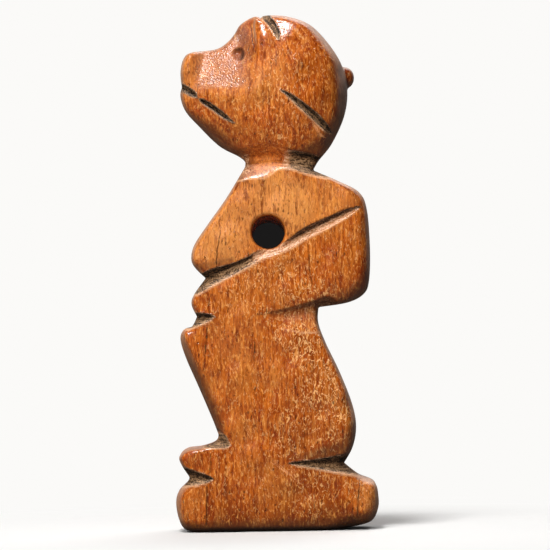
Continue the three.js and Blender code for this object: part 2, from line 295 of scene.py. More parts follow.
def dome_half():
    """How far each cheek stands from the middle plane."""
    across = X - DOME["x"]
    out = np.hypot(across / np.where(across < 0, DOME["front"], DOME["back"]), (Z - DOME["z"]) / DOME["up"])
    left = np.clip(1 - out ** DOME["fullness"], 0, 1) ** (1 / DOME["fullness"])
    return -soft_min(-DOME["half"] * left, np.full(X.shape, -RIM_HALF), 0.5)


def beyond(flat):
    """How far each place lies to the left of a flat's line, looking along it."""
    (x0, z0), (x1, z1) = flat["line"]
    length = np.hypot(x1 - x0, z1 - z0)
    return ((x1 - x0) * (Z - z0) - (z1 - z0) * (X - x0)) / length


def blank_half():
    """Half the thickness of the blank, before any cut."""
    to_edge = np.clip(-edge / 3.0, 0, 1)
    bar = BAR_HALF - 0.18 * (1 - to_edge) ** 2
    head = dome_half()
    return bar + (head - bar) * smooth(NECK_Z - 0.5, NECK_Z + 0.7, Z)


CUT_REACH = 2.6


def filed():
    """Over the sheet: the file cuts' depth, dirt, black (dirt, and painted shade on the upper walls), each place along
    and across, and the painted highlight on the lower lips.
    """
    depth = np.zeros(X.shape)
    dirt = np.zeros(X.shape)
    black = np.zeros(X.shape)
    along = np.zeros(X.shape)
    over_line = np.zeros(X.shape)
    lit_lip = np.zeros(X.shape)
    for cut in CUTS:
        line = curve_through(cut)
        lengths = np.hypot(*np.diff(line[:, :2], axis=0).T)
        run = np.concatenate([[0], np.cumsum(lengths)])[:, None]
        turn = 1 if line[-1][0] > line[0][0] else -1
        away, side, carried = trace(np.hstack([line, run]), CUT_REACH)
        above, below, deep, soil, black_to, station = np.moveaxis(carried, -1, 0)
        over = side * turn > 0
        width = np.where(over, above, below)
        across = np.clip(away / np.maximum(width, 0.02), 0, 2)
        depth = np.maximum(depth, deep * np.clip(1 - across**1.6, 0, 1) ** 1.3)
        soiled = soil * (1 - smooth(0.7, 1.15, across)) * (1 - smooth(0.8, 1.5, away))
        down = np.where(over, -across, across)
        # Black on the upper wall: dirt, and painted shade where the wall faces down
        shade = (1 - smooth(black_to - 0.2, black_to + 0.2, down)) * (1 - smooth(0.85, 1.1, across))
        dirt = np.maximum(dirt, soiled)
        black = np.maximum(black, np.minimum(2 * soil, 1) * shade)
        # Painted highlight: a band along the lower lip of each cut, the edge that faces up to the light
        on_lit_lip = (1 - smooth(0.03, 0.14, np.abs(away - below))) * smooth(0.1, 0.35, deep) * ~over
        lit_lip = np.maximum(lit_lip, on_lit_lip)
        along = np.where(away < CUT_REACH, station, along)
        over_line = np.where(away < CUT_REACH, down * width, over_line)
    return depth, dirt, black, along, over_line, lit_lip


def bridge_flat():
    """How much the side of the muzzle is pared down towards the bridge of the nose."""
    left, left_full, right_full, right = BRIDGE_FLAT["x"]
    rise = (Z - BRIDGE_FLAT["from_z"]) / (BRIDGE_FLAT["to_z"] - BRIDGE_FLAT["from_z"])
    rise = np.minimum(-soft_min(-rise, np.zeros(X.shape), 0.12), 1)
    wide = smooth(left, left_full, X) * (1 - smooth(right_full, right, X))
    return BRIDGE_FLAT["deep"] * rise * wide, smooth(0.02, 0.2, rise) * wide


def brow_ridge():
    """How proud the brow ridge stands."""
    away, _, carried = trace(curve_through(RIDGE), 1.5)
    width, proud = np.moveaxis(carried, -1, 0)
    return proud * np.clip(1 - (away / np.maximum(width, 0.1)) ** 2, 0, 1) ** 1.5


def eye_pit():
    """The eye: a pit, steep behind and above, and open towards the muzzle, with painted shade on its steep walls."""
    dx = X - EYE["x"]
    dz = Z - EYE["z"]
    across = dx / np.where(dx > 0, EYE["back"], EYE["front"])
    up = dz / np.where(dz > 0, EYE["up"], EYE["down"])
    out = np.hypot(across, up)
    shade = (1 - smooth(0.7, 1.15, out)) * smooth(-0.3, 0.8, np.maximum(across - 0.4 * up, 0.8 * up))
    return EYE["deep"] * np.clip(1 - out, 0, 1) ** 1.1, 1 - smooth(0.6, 1.1, out), shade


cut_depth, dirt_map, black_map, along_map, across_map, lit_lip_map = filed()
eye_depth, eye_map, eye_painted_shade = eye_pit()
flat_depth, scuff_and_sheen_map = bridge_flat()
half = blank_half()
near_half = half + hand_waves() - cut_depth - flat_depth + brow_ridge() - eye_depth
shin_out = -beyond(SHIN_FLAT)
off_shin = 50 * (smooth(20.5, 22, Z) + smooth(8.6, 7.9, Z))
near_half = soft_min(near_half, BAR_HALF - SHIN_FLAT["drop"] * shin_out + off_shin, SHIN_FLAT["soft"])
far_half = half + hand_waves() - FAR_SIDE_DEPTH * (cut_depth + eye_depth + flat_depth)


def sampler(x, z):
    """The four sheet squares round each place, and their shares."""
    column = np.clip((x - SHEET_X[0]) / SHEET_STEP, 0, len(SHEET_X) - 1.001)
    row = np.clip((z - SHEET_Z[0]) / SHEET_STEP, 0, len(SHEET_Z) - 1.001)
    i = column.astype(int)
    j = row.astype(int)
    u = column - i
    v = row - j
    return i, j, u, v


def read(sheet, place):
    """A sheet's value at places off its marks."""
    i, j, u, v = place
    low = sheet[i, j] * (1 - v) + sheet[i, j + 1] * v
    high = sheet[i + 1, j] * (1 - v) + sheet[i + 1, j + 1] * v
    return low * (1 - u) + high * u


def bone(x, y, z):
    """Below zero in the bone and above it outside, about in millimetres near the surface."""
    place = sampler(x, z)
    rim = read(edge, place)
    inset = read(wear_in, place)
    drop = read(wear_down, place)
    proud = np.where(y < 0, -y - read(near_half, place), y - read(far_half, place))

    # the string hole runs on a slant, and its mouths are worn wider
    along = (y / BAR_HALF + 1) / 2
    hole_x = HOLE["near"][0] + along * (HOLE["far"][0] - HOLE["near"][0])
    hole_z = HOLE["near"][1] + along * (HOLE["far"][1] - HOLE["near"][1])
    wall = HOLE["radius"] - np.hypot(x - hole_x, z - hole_z)
    at_hole = wall > -1.5
    rim = np.where(at_hole, np.maximum(rim, wall), rim)
    inset = np.where(at_hole, 0.4, inset)
    drop = np.where(at_hole, 0.55, drop)

    out = rim / inset + 1
    up = proud / drop + 1
    round_edge = np.hypot(np.maximum(out, 0), np.maximum(up, 0)) - 1
    straight = np.maximum(rim, proud)
    body = np.where((out > 0) & (up > 0), round_edge * np.minimum(inset, drop), straight)

    knob = np.sqrt(
        ((x - KNOB["x"]) / KNOB["out"]) ** 2
        + ((y - KNOB["y"]) / KNOB["across"]) ** 2
        + ((z - KNOB["z"]) / KNOB["up"]) ** 2
    ) - 1
    return soft_min(body, knob * KNOB["out"], 0.25)


# The carved surface as a net of small squares, finer towards the broad faces
NET_STEP = 0.17
FACE_BAND = 2.4
TALLEST_HALF = 6.2
coarse = np.linspace(-FACE_BAND, FACE_BAND, 13)
fine = np.arange(FACE_BAND + NET_STEP, TALLEST_HALF, NET_STEP)
net_y = np.concatenate([-fine[::-1], coarse, fine])
net_x = np.arange(-10.6, 10.6, NET_STEP)
net_z = np.arange(-0.8, 51.0, NET_STEP)


def corners(grid, i, j, k):
    """The values of a grid at one corner of each of its boxes."""
    a, b, c = grid.shape
    return grid[i : a - 1 + i, j : b - 1 + j, k : c - 1 + k]


def wrap_net(value):
    """A closed net of squares round the places where the value is below zero."""
    inside = value < 0
    boxes = [(i, j, k) for i in (0, 1) for j in (0, 1) for k in (0, 1)]
    count = sum(corners(inside, *box).astype(int) for box in boxes)
    crossed = (count > 0) & (count < 8)
    ci, cj, ck = np.nonzero(crossed)
    number = np.full(crossed.shape, -1)
    number[crossed] = np.arange(len(ci))

    total = np.zeros((len(ci), 3))
    hits = np.zeros(len(ci))
    for start in boxes:
        for axis in range(3):
            if start[axis]:
                continue
            end = [s + (k == axis) for k, s in enumerate(start)]
            a = value[ci + start[0], cj + start[1], ck + start[2]]
            b = value[ci + end[0], cj + end[1], ck + end[2]]
            crossing = (a < 0) != (b < 0)
            part = np.where(crossing, a / np.where(crossing, a - b, 1), 0)
            from_place = np.stack([net_x[ci + start[0]], net_y[cj + start[1]], net_z[ck + start[2]]], axis=1)
            to_place = np.stack([net_x[ci + end[0]], net_y[cj + end[1]], net_z[ck + end[2]]], axis=1)
            total += (from_place + part[:, None] * (to_place - from_place)) * crossing[:, None]
            hits += crossing
    points = total / hits[:, None]

    squares = []
    for axis in range(3):
        one, two = [(axis + 1) % 3, (axis + 2) % 3]
        low = np.take(inside, range(0, inside.shape[axis] - 1), axis)
        high = np.take(inside, range(1, inside.shape[axis]), axis)
        place = np.stack(np.nonzero(low != high), axis=1)
        leaving = low[tuple(place.T)]
        ring = []
        for step_one, step_two in ((0, 0), (-1, 0), (-1, -1), (0, -1)):
            box = place.copy()
            box[:, one] += step_one
            box[:, two] += step_two
            ring.append(number[tuple(box.T)])
        ring = np.stack(ring, axis=1)
        squares.append(np.where(leaving[:, None], ring, ring[:, ::-1]))
    return points, np.vstack(squares)


def slope(points, reach=0.05):
    """The value's slope at each point, by looking a little way along each axis."""
    slopes = []
    for axis in range(3):
        step = np.zeros(3)
        step[axis] = reach
        ahead = bone(*(points + step).T)
        behind = bone(*(points - step).T)
        slopes.append((ahead - behind) / (2 * reach))
    return np.stack(slopes, axis=1)


def settle(points, rounds):
    """Moves each point straight down its slope onto the surface."""
    for _ in range(rounds):
        rise = slope(points)
        steep = np.maximum((rise**2).sum(axis=1), 0.05)
        move = rise * (bone(*points.T) / steep)[:, None]
        length = np.linalg.norm(move, axis=1, keepdims=True)
        points = points - move * np.minimum(1, 0.5 * NET_STEP / np.maximum(length, 1e-9))
    return points


def even_out(points, squares):
    """Moves each point part of the way to the middle of its neighbours."""
    pairs = np.vstack([squares[:, [k, (k + 1) % 4]] for k in range(4)])
    count = np.bincount(pairs[:, 0], minlength=len(points)) + np.bincount(pairs[:, 1], minlength=len(points))
    middle = np.zeros_like(points)
    for axis in range(3):
        middle[:, axis] += np.bincount(pairs[:, 0], points[pairs[:, 1], axis], len(points))
        middle[:, axis] += np.bincount(pairs[:, 1], points[pairs[:, 0], axis], len(points))
    return points + 0.6 * (middle / count[:, None] - points)


value = bone(*np.meshgrid(net_x, net_y, net_z, indexing="ij"))
points, squares = wrap_net(value)
for _ in range(2):
    points = settle(even_out(points, squares), 2)
points = settle(points, 2)
rise = slope(points)
normals = rise / np.maximum(np.linalg.norm(rise, axis=1, keepdims=True), 1e-9)

# The cracks: the long one down the front follows a vessel through the bone, and dirt keeps them dark.
# Each is a list of [x, z, half its width]
CRACKS = [
    [[-5.05, 29.4, 0.02], [-5.2, 28.2, 0.035], [-5.4, 27.2, 0.04], [-5.5, 25.4, 0.03]],
    [[-6.1, 23.2, 0.02], [-6.25, 22.2, 0.035], [-6.3, 21.0, 0.03]],
    [[-6.5, 20.0, 0.05], [-6.6, 18.5, 0.06], [-6.75, 17.2, 0.05], [-6.9, 15.6, 0.03]],
    [[-6.35, 7.8, 0.04], [-6.4, 6.6, 0.05], [-6.5, 5.6, 0.04]],
    [[-6.75, 4.6, 0.05], [-6.85, 2.6, 0.06], [-6.9, 0.6, 0.06]],
    [[7.98, 5.0, 0.03], [7.85, 3.4, 0.05], [7.65, 1.2, 0.06]],
    [[-1.92, 19.0, 0.02], [-1.95, 17.8, 0.04], [-2.06, 16.3, 0.02]],
    [[-1.8, 49.4, 0.02], [-1.75, 48.6, 0.035], [-1.62, 47.4, 0.03], [-1.5, 46.6, 0.02]],
    [[3.35, 27.9, 0.02], [3.45, 26.6, 0.04], [3.5, 25.2, 0.035], [3.75, 23.6, 0.02]],
    [[6.2, 28.0, 0.02], [6.3, 27.2, 0.035], [6.3, 26.2, 0.02]],
]
SCRATCHES = [
    [[-0.9, 6.95, 0.02], [0.9, 5.7, 0.03], [2.5, 4.4, 0.035]],
    [[-0.3, 7.0, 0.015], [0.8, 6.0, 0.02], [1.6, 5.3, 0.015]],
    [[3.9, 39.6, 0.03], [4.35, 38.95, 0.1], [4.75, 38.3, 0.09], [5.35, 37.9, 0.04]],
    [[2.9, 9.4, 0.015], [3.6, 9.6, 0.03], [4.3, 10.1, 0.02]],
]


def across_lines(lines, reach=1.0):
    """How far each place is across the nearest line, signed by its side, and the line's width there."""
    nearest = np.full(X.shape, reach)
    across = np.full(X.shape, reach)
    width = np.zeros(X.shape)
    for line in lines:
        away, side, carried = trace(curve_through(line), reach)
        ends = np.hypot(X - line[0][0], Z - line[0][1]), np.hypot(X - line[-1][0], Z - line[-1][1])
        (x0, z0), (x1, z1) = line[0][:2], line[-1][:2]
        reached = ((X - x0) * (x1 - x0) + (Z - z0) * (z1 - z0)) / np.hypot(x1 - x0, z1 - z0) ** 2
        here = (away < nearest) & (reached > 0) & (reached < 1)
        nearest[here] = away[here]
        across[here] = (away * side)[here]
        fade = smooth(0, 0.3, np.minimum(*ends))
        width[here] = (carried[..., 0] * fade)[here]
    return across, width


crack_across, crack_width = across_lines(CRACKS)
scratch_across, scratch_width = across_lines(SCRATCHES)

amulet_mesh = bpy.data.meshes.new("amulet")
amulet_mesh.from_pydata((points * MM).tolist(), [], squares.tolist())
amulet_mesh.update()
amulet_mesh.polygons.foreach_set("use_smooth", [True] * len(squares))
amulet_mesh.normals_split_custom_set_from_vertices(normals.tolist())

place = sampler(points[:, 0], points[:, 2])
on_near = smooth(0.5, -0.5, points[:, 1])
near_share = 0.2 + 0.8 * on_near
faces_out = smooth(0.15, 0.6, np.abs(normals[:, 1]))
# Painted shade: black rising towards the bottom of the plinth, where the underside turns away from the light
bottom_shade = 0.8 * smooth(0.75, 0.2, points[:, 2])
at_hole = np.hypot(points[:, 0] - HOLE["near"][0], points[:, 2] - HOLE["near"][1] + 0.35) < HOLE["radius"] + 0.5
in_hole = smooth(0.75, 0.35, np.abs(normals[:, 1])) * at_hole


def keep(name, values):
    """Keeps one number for each point of the surface, for the material to read."""
    layer = amulet_mesh.attributes.new(name, "FLOAT", "POINT")
    layer.data.foreach_set("value", np.asarray(values, np.float32))


keep("dirt", np.maximum(read(dirt_map, place) * (1 - in_hole), 0) * near_share)
keep("black", np.maximum(read(black_map, place) * (1 - in_hole) * near_share, bottom_shade))
keep("along", read(along_map, place))
keep("across", read(across_map, place))
keep("crack_across", read(crack_across, place))
keep("crack_width", read(crack_width, place) * on_near * faces_out)
keep("scratch_across", read(scratch_across, place))
keep("scratch_width", read(scratch_width, place) * on_near)
keep("eye", read(eye_map, place))
keep("eye_painted_shade", read(eye_painted_shade, place))
# The scuffed muzzle flat: rougher and bumpier, and its pinkish-grey tint below is painted sheen
keep("scuff_and_sheen", read(scuff_and_sheen_map, place) * near_share * faces_out)
# Narrow sides: the mask for the greyish tint below, which is painted reflection of the bright room on the turned edges
keep("side", smooth(0.66, 0.25, np.abs(normals[:, 1])) * (1 - in_hole))
# Walls of the string hole: lightened below with painted light, for the light bounced into the hole
keep("hole", in_hole)

# How light the tone is, from -1 to 1, and how many pale flecks show, at places over the amulet. The tone is partly
# stain and partly painted light and shade: lighter high on the torso, darker along the bottom, under the jaw, at the
# back of the head and on the knob.
STAIN_AND_SHADING = [
    [-8.3, 45.0, 0.5, 0.2], [-5.0, 44.5, 0.3, 0.3], [-1.0, 48.5, 0.2, 0.2], [0.5, 43.0, 0.2, 0.5],
    [5.0, 46.0, -0.4, 0.4], [6.9, 42.0, -0.4, 0.2], [0.5, 38.0, -0.1, 0.5], [-5.0, 38.8, -0.4, 0.2],
    [3.0, 36.6, -0.3, 0.1], [0.0, 34.0, 0.7, 0.2], [1.5, 32.0, 0.9, 0.1], [-5.0, 28.5, 0.7, 0.2],
    [-0.8, 35.6, 0.5, 0.0], [-1.0, 36.6, 0.1, 0.1],
    [6.0, 32.5, 0.4, 0.2], [5.0, 26.5, 0.0, 0.3], [-1.0, 24.5, 0.1, 0.6], [3.0, 22.8, -0.2, 0.7],
    [8.8, 23.4, -0.5, 0.2], [8.3, 28.0, 0.0, 0.4], [7.9, 43.4, -1.0, 0.1], [-2.6, 47.9, -0.1, 0.2],
    [-7.0, 22.3, -0.1, 0.3], [-4.0, 18.0, 0.25, 0.2],
    [-8.2, 18.3, 0.1, 0.1], [0.0, 15.0, 0.1, 0.3], [3.5, 17.5, -0.1, 1.0], [5.0, 12.5, -0.3, 1.0],
    [2.0, 9.5, -0.45, 0.6], [-2.5, 10.0, 0.0, 0.3], [-8.0, 7.0, 0.0, 0.3], [-8.6, 2.5, 0.0, 0.3],
    [-2.0, 3.0, -0.2, 0.4], [3.0, 2.5, -0.55, 0.6], [8.9, 3.0, 0.35, 0.6], [-4.0, 0.4, -1.0, 0.1],
    [1.0, 0.4, -1.0, 0.1], [6.0, 0.8, -1.0, 0.1],
]
stain_and_shading_map, fleck_map = near_places(STAIN_AND_SHADING, 0.8)

# Painted shade: darker brown along the lower and turned-away edges, as [x, z, half its width, how dark]
SHADED_EDGES = [
    [[-8.7, 18.2, 0.4, 0.3], [-8.0, 15.8, 0.8, 0.8], [-6.9, 13.2, 1.0, 0.9], [-5.8, 10.4, 0.8, 0.9]],
    [[-8.3, 40.6, 0.6, 0.5], [-6.6, 39.0, 1.1, 0.9], [-4.6, 37.4, 1.1, 0.9], [-2.6, 35.6, 1.0, 0.9],
     [-3.4, 34.2, 0.7, 0.6]],
    [[1.6, 36.2, 0.6, 0.4], [3.6, 36.5, 0.9, 0.9], [5.4, 37.6, 0.9, 0.8], [6.8, 40.0, 0.9, 0.7],
     [7.4, 43.0, 0.8, 0.6]],
    [[-1.2, 21.2, 0.5, 0.3], [2.0, 21.3, 0.8, 0.6], [4.8, 22.0, 0.9, 0.8], [7.4, 22.6, 1.0, 0.8],
     [9.1, 24.0, 0.9, 0.7], [9.5, 27.0, 0.6, 0.4]],
    [[2.0, 7.0, 0.4, 0.5], [4.6, 7.5, 0.8, 0.8], [6.6, 7.9, 1.1, 0.9], [7.6, 10.0, 0.8, 0.6]],
    [[-9.3, 0.6, 0.6, 0.8], [-6.0, 0.2, 0.9, 1.0], [0.0, 0.2, 1.0, 1.0], [5.0, 0.3, 1.0, 1.0],
     [9.2, 1.1, 0.8, 0.9]],
    [[-7.4, 25.6, 0.5, 0.6], [-5.6, 26.0, 0.4, 0.6], [-3.9, 26.4, 0.3, 0.5]],
    [[-3.4, 48.4, 0.7, 0.6], [-2.3, 47.6, 0.9, 0.6], [-1.9, 46.3, 0.8, 0.5]],
    [[2.6, 45.6, 0.5, 0.2], [3.0, 45.0, 0.5, 0.5], [3.5, 44.6, 0.3, 0.2]],
]


def edge_shading():
    """How strong the painted shade along the edges is over the sheet."""
    shading = np.zeros(X.shape)
    for line in SHADED_EDGES:
        away, _, carried = trace(curve_through(line), 2.2)
        half_width, darkness = np.moveaxis(carried, -1, 0)
        shading = np.maximum(shading, darkness * (1 - smooth(0.2, 1.6, away / np.maximum(half_width, 0.1))))
    return shading


# Painted shade along the lower and turned-away edges
keep("edge_shade", read(edge_shading(), place))
keep("hollow", read(smooth(0.06, 0.3, cut_depth), place))
# Painted highlight along the lower lips of the cuts, on the near face
keep("lit_lip", read(lit_lip_map, place) * on_near)
keep("stain_and_shading", read(stain_and_shading_map, place))
keep("flecks", read(fleck_map, place))


def srgb(code):
    """A hex colour as the linear one that the shader takes."""
    levels = np.array([int(code[k : k + 2], 16) for k in (1, 3, 5)]) / 255
    linear = np.where(levels <= 0.04045, levels / 12.92, ((levels + 0.055) / 1.055) ** 2.4)
    return (*linear.tolist(), 1.0)


def add(tree, kind, inputs=(), output=None, **settings):
    """Adds a node with its settings, and a value or a link for each input; gives the output asked for."""
    node = tree.nodes.new(kind)
    for name, setting in settings.items():
        setattr(node, name, setting)
    sockets = [socket for socket in node.inputs if socket.enabled]
    for name, value in dict(inputs).items():
        socket = sockets[name] if isinstance(name, int) else next(s for s in sockets if s.name == name)
        if isinstance(value, bpy.types.NodeSocket):
            tree.links.new(value, socket)
        else:
            socket.default_value = value
    if output:
        return node.outputs[output]
    return next((socket for socket in node.outputs if socket.enabled), None)


# Polished bone, stained honey brown by oil and burial. Scraping along the bar and years of handling
# left a soft gloss, broken by the grain: fine upright fibres, dark pores, and pale flecks of
# younger bone. The cuts hold brown and black dirt with the file's marks in it. Some of the colour
# is painted light and shade: shade along the lower edges, on the cuts' upper walls, in the eye and
# along the underside; a tone lighter high on the torso and darker low down, under the jaw and at
# the back of the head; reflection on the narrow sides; sheen on the scuffed muzzle; highlights on
# the cuts' lower lips; and light inside the string hole.

polished_bone = bpy.data.materials.new("polished_bone")
polished_bone.use_nodes = True
tree = polished_bone.node_tree
tree.nodes.clear()
where = add(tree, "ShaderNodeTexCoord", output="Object")
in_mm = add(tree, "ShaderNodeVectorMath", {0: where, "Scale": 1 / MM}, operation="SCALE")

# Each grain: [width and length in mm of one figure, a shift, detail, how far it wavers]
GRAINS = {
    "fibre": [(0.3, 2.4), (0, 0, 0), 3.0, 0.5],
    "thread": [(0.17, 0.6), (4, 6, 9), 2.0, 0.9],
    "streak": [(0.42, 4.5), (9, 2, 5), 2.0, 0.5],
    "mottle": [(1.2, 2.0), (7, 3, 1), 3.0, 0.6],
    "cloud": [(4.0, 6.5), (2, 9, 4), 2.0, 0.3],
    "curl": [(0.36, 0.8), (5, 2, 6), 1.0, 0.9],
    "patch": [(0.35, 0.5), (3, 1, 8), 1.0, 0.0],
    "speckle": [(0.16, 0.2), (6, 8, 2), 1.0, 0.0],
}
grain = {}
for name, ((width, length), shift, detail, waver) in GRAINS.items():
    scale = (1 / width, 1 / width, 1 / length)
    spot = add(tree, "ShaderNodeVectorMath", {0: in_mm, 1: scale, 2: shift}, operation="MULTIPLY_ADD")
    noise = {"Vector": spot, "Scale": 1.0, "Detail": detail, "Roughness": 0.6, "Distortion": waver}
    grain[name] = add(tree, "ShaderNodeTexNoise", noise)
kept = {}
for name in [layer.name for layer in amulet_mesh.attributes if layer.data_type == "FLOAT"]:
    kept[name] = add(tree, "ShaderNodeAttribute", output="Fac", attribute_name=name)

# Pale flecks: short curled lines, thick in some places and thin in others
curl_away = add(tree, "ShaderNodeMath", {0: grain["curl"], 1: 0.5}, operation="SUBTRACT")
curl_away = add(tree, "ShaderNodeMath", {0: curl_away}, operation="ABSOLUTE")
in_line = {"Value": curl_away, "From Min": 0.05, "From Max": 0.015}
curl_line = add(tree, "ShaderNodeMapRange", in_line, interpolation_type="SMOOTHSTEP")
thicker = add(tree, "ShaderNodeMath", {0: kept["flecks"], 1: 0.2, 2: grain["patch"]}, operation="MULTIPLY_ADD")
in_patch = {"Value": thicker, "From Min": 0.54, "From Max": 0.66}
curl_patch = add(tree, "ShaderNodeMapRange", in_patch, interpolation_type="SMOOTHSTEP")
fleck = add(tree, "ShaderNodeMath", {0: curl_line, 1: curl_patch}, operation="MULTIPLY")
fleck_share = add(tree, "ShaderNodeMath", {0: kept["flecks"], 1: 0.75, 2: 0.25}, operation="MULTIPLY_ADD")
fleck = add(tree, "ShaderNodeMath", {0: fleck, 1: fleck_share}, operation="MULTIPLY")

# Pores: small dark pits, longer than they are wide
PORE = (1 / 0.42, 1 / 0.42, 1 / 1.1)
pore_spot = add(tree, "ShaderNodeVectorMath", {0: in_mm, 1: PORE, 2: (3, 1, 8)}, operation="MULTIPLY_ADD")
bent = add(tree, "ShaderNodeVectorMath", {0: grain["patch"], 1: pore_spot}, operation="ADD")
pore_cell = add(tree, "ShaderNodeTexVoronoi", {"Vector": bent, "Scale": 1.0}, output="Distance")
pore_colour = add(tree, "ShaderNodeTexVoronoi", {"Vector": bent, "Scale": 1.0}, output="Color")
pore_chance = add(tree, "ShaderNodeSeparateColor", {0: pore_colour})
pit = add(tree, "ShaderNodeMapRange", {"Value": pore_cell, "From Min": 0.24, "From Max": 0.1})
chosen = add(tree, "ShaderNodeMapRange", {"Value": pore_chance, "From Min": 0.6, "From Max": 0.68})
pore = add(tree, "ShaderNodeMath", {0: pit, 1: chosen}, operation="MULTIPLY")

# The colours over the grain, real stain with painted light and shade among them: [pattern, where it starts, where it
# is full, how strong, colour]
COLOUR_LAYERS = [
    [grain["fibre"], 0.36, 0.62, 1.0, "#CE6A1C"],
    [grain["mottle"], 0.4, 0.62, 0.65, "#A8480C"],
    [grain["cloud"], 0.45, 0.7, 0.45, "#CE782C"],
    # Tone: stain, with painted light high on the torso and painted shade low down, under the jaw, at the back of the
    # head and on the knob
    [kept["stain_and_shading"], 0.0, 1.0, 0.7, "#EC9E54"],
    [kept["stain_and_shading"], 0.0, -1.0, 0.75, "#6E2602"],
    [grain["streak"], 0.45, 0.3, 0.75, "#742A04"],
    [grain["streak"], 0.56, 0.7, 0.35, "#E4903E"],
    [grain["thread"], 0.46, 0.34, 0.6, "#641F04"],
    [grain["thread"], 0.54, 0.68, 0.65, "#F2A452"],
    [fleck, 0.0, 1.0, 0.8, "#FFC07A"],
    [pore, 0.0, 1.0, 0.7, "#3A1404"],
    # Painted reflection: a pale greyish tint on the narrow sides, for the bright room seen on the turned edges
    [kept["side"], 0.0, 1.0, 0.6, "#B08A6C"],
    # Painted sheen: a pinkish-grey tint over the scuffed muzzle flat
    [kept["scuff_and_sheen"], 0.0, 1.0, 0.35, "#B4826A"],
    # Painted shade: dark brown along the lower and turned-away edges
    [kept["edge_shade"], 0.0, 1.0, 0.7, "#46260F"],
    # Painted highlight: a pale line along the cuts' lower lips
    [kept["lit_lip"], 0.0, 1.0, 0.5, "#F4BE8C"],
    [kept["eye"], 0.0, 1.0, 0.5, "#7A300A"],
    # Painted shade on the steep back and upper walls of the eye pit
    [kept["eye_painted_shade"], 0.0, 1.0, 0.85, "#220C03"],
    # Painted light: the string hole's walls made lighter, for the light bounced into them
    [kept["hole"], 0.0, 1.0, 0.8, "#B86420"],
]
colour = srgb("#943A06")
for pattern, start, full, strong, code in COLOUR_LAYERS:
    reached = {"Value": pattern, "From Min": start, "From Max": full, "To Max": strong}
    share = add(tree, "ShaderNodeMapRange", reached, interpolation_type="SMOOTHSTEP")
    colour = add(tree, "ShaderNodeMix", {"Factor": share, "A": colour, "B": srgb(code)}, data_type="RGBA")

# Dirt in the cuts, with the file's marks along each cut. The pale wall tones are partly dust and partly painted light
# on the lit walls, and the black is dirt with painted shade on the upper walls and along the underside. The real marks
# are near 0.05 mm, which is under a pixel, so these are drawn three times as coarse
mark_place = add(tree, "ShaderNodeCombineXYZ", {"X": kept["along"], "Y": kept["across"]})
mark_spot = add(tree, "ShaderNodeVectorMath", {0: mark_place, 1: (1 / 0.8, 1 / 0.14, 1)}, operation="MULTIPLY")
marks = add(tree, "ShaderNodeTexNoise", {"Vector": mark_spot, "Scale": 1.0, "Detail": 2.0, "Distortion": 0.5})
crumbs = add(tree, "ShaderNodeMath", {0: marks, 1: grain["speckle"]}, operation="ADD")
earth_light = {"Value": crumbs, "From Min": 0.8, "From Max": 1.2}
earth_share = add(tree, "ShaderNodeMapRange", earth_light, interpolation_type="SMOOTHSTEP")
earth_tones = {"Factor": earth_share, "A": srgb("#4A3320"), "B": srgb("#B48A62")}
earth = add(tree, "ShaderNodeMix", earth_tones, data_type="RGBA")
# Pale walls: partly dust, and lightened as painted light where the walls catch the light
dusty_lit_tones = {"Factor": earth_share, "A": srgb("#B0703E"), "B": srgb("#E8B48C")}
dusty_lit_wall = add(tree, "ShaderNodeMix", dusty_lit_tones, data_type="RGBA")
uneven = add(tree, "ShaderNodeMath", {0: grain["thread"], 1: 0.9, 2: -0.45}, operation="MULTIPLY_ADD")
soil = add(tree, "ShaderNodeMath", {0: kept["dirt"], 1: uneven}, operation="ADD")
deep_soil = {"Value": soil, "From Min": 0.55, "From Max": 0.8}
soil_share = add(tree, "ShaderNodeMapRange", deep_soil, interpolation_type="SMOOTHSTEP")
soil_tones = {"Factor": soil_share, "A": dusty_lit_wall, "B": earth}
soil_colour = add(tree, "ShaderNodeMix", soil_tones, data_type="RGBA")
held = {"Value": soil, "From Min": 0.25, "From Max": 0.5}
dirt_share = add(tree, "ShaderNodeMapRange", held, interpolation_type="SMOOTHSTEP")
colour = add(tree, "ShaderNodeMix", {"Factor": dirt_share, "A": colour, "B": soil_colour}, data_type="RGBA")
# Black in the cuts and along the underside: dirt, with painted shade on the upper walls and at the bottom
black_breakup = {"Value": crumbs, "From Min": 1.2, "From Max": 0.9, "To Min": 0.62, "To Max": 0.98}
black_broken = add(tree, "ShaderNodeMapRange", black_breakup, interpolation_type="SMOOTHSTEP")
black_share = add(tree, "ShaderNodeMath", {0: kept["black"], 1: black_broken}, operation="MULTIPLY")
black_tones = {"Factor": black_share, "A": colour, "B": srgb("#160C06")}
colour = add(tree, "ShaderNodeMix", black_tones, data_type="RGBA")

